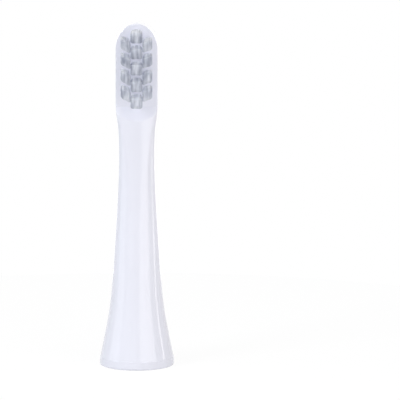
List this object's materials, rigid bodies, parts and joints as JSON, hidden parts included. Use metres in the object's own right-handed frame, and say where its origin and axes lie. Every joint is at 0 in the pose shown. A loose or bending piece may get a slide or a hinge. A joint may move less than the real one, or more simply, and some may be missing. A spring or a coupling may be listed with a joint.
{
  "type": "electric toothbrush head",
  "caption": "Slim replacement brush head for a sonic toothbrush: a glossy flared body with a set-back oval brush plate, V-trimmed bristle tufts and a drive socket in its open base.",
  "frame": {"origin": "on the drive axis, at the centre of the base rim's underside", "axes": "+Z along the drive axis towards the brush tip, -Y the way the bristles point, +X to the right when the bristles face the viewer"},
  "size_m": [0.0172, 0.0172, 0.08],
  "materials": {
    "body_plastic": "glossy white moulded plastic",
    "core_plastic": "satin natural moulded plastic",
    "spring_steel": "bright stainless strip",
    "anchor_brass": "flat drawn wire",
    "bristle_nylon": "clear white nylon filaments"
  },
  "bodies": {
    "root": {"brush_body": "body_plastic", "drive_core": "core_plastic", "shaft_spring": "spring_steel", "tuft_anchors": "anchor_brass", "tuft_middle_1": "bristle_nylon", "tuft_middle_2": "bristle_nylon", "tuft_middle_3": "bristle_nylon", "tuft_middle_4": "bristle_nylon", "tuft_middle_5": "bristle_nylon", "tuft_left_1": "bristle_nylon", "tuft_left_2": "bristle_nylon", "tuft_left_3": "bristle_nylon", "tuft_left_4": "bristle_nylon", "tuft_right_1": "bristle_nylon", "tuft_right_2": "bristle_nylon", "tuft_right_3": "bristle_nylon", "tuft_right_4": "bristle_nylon"}
  },
  "joints": []
}
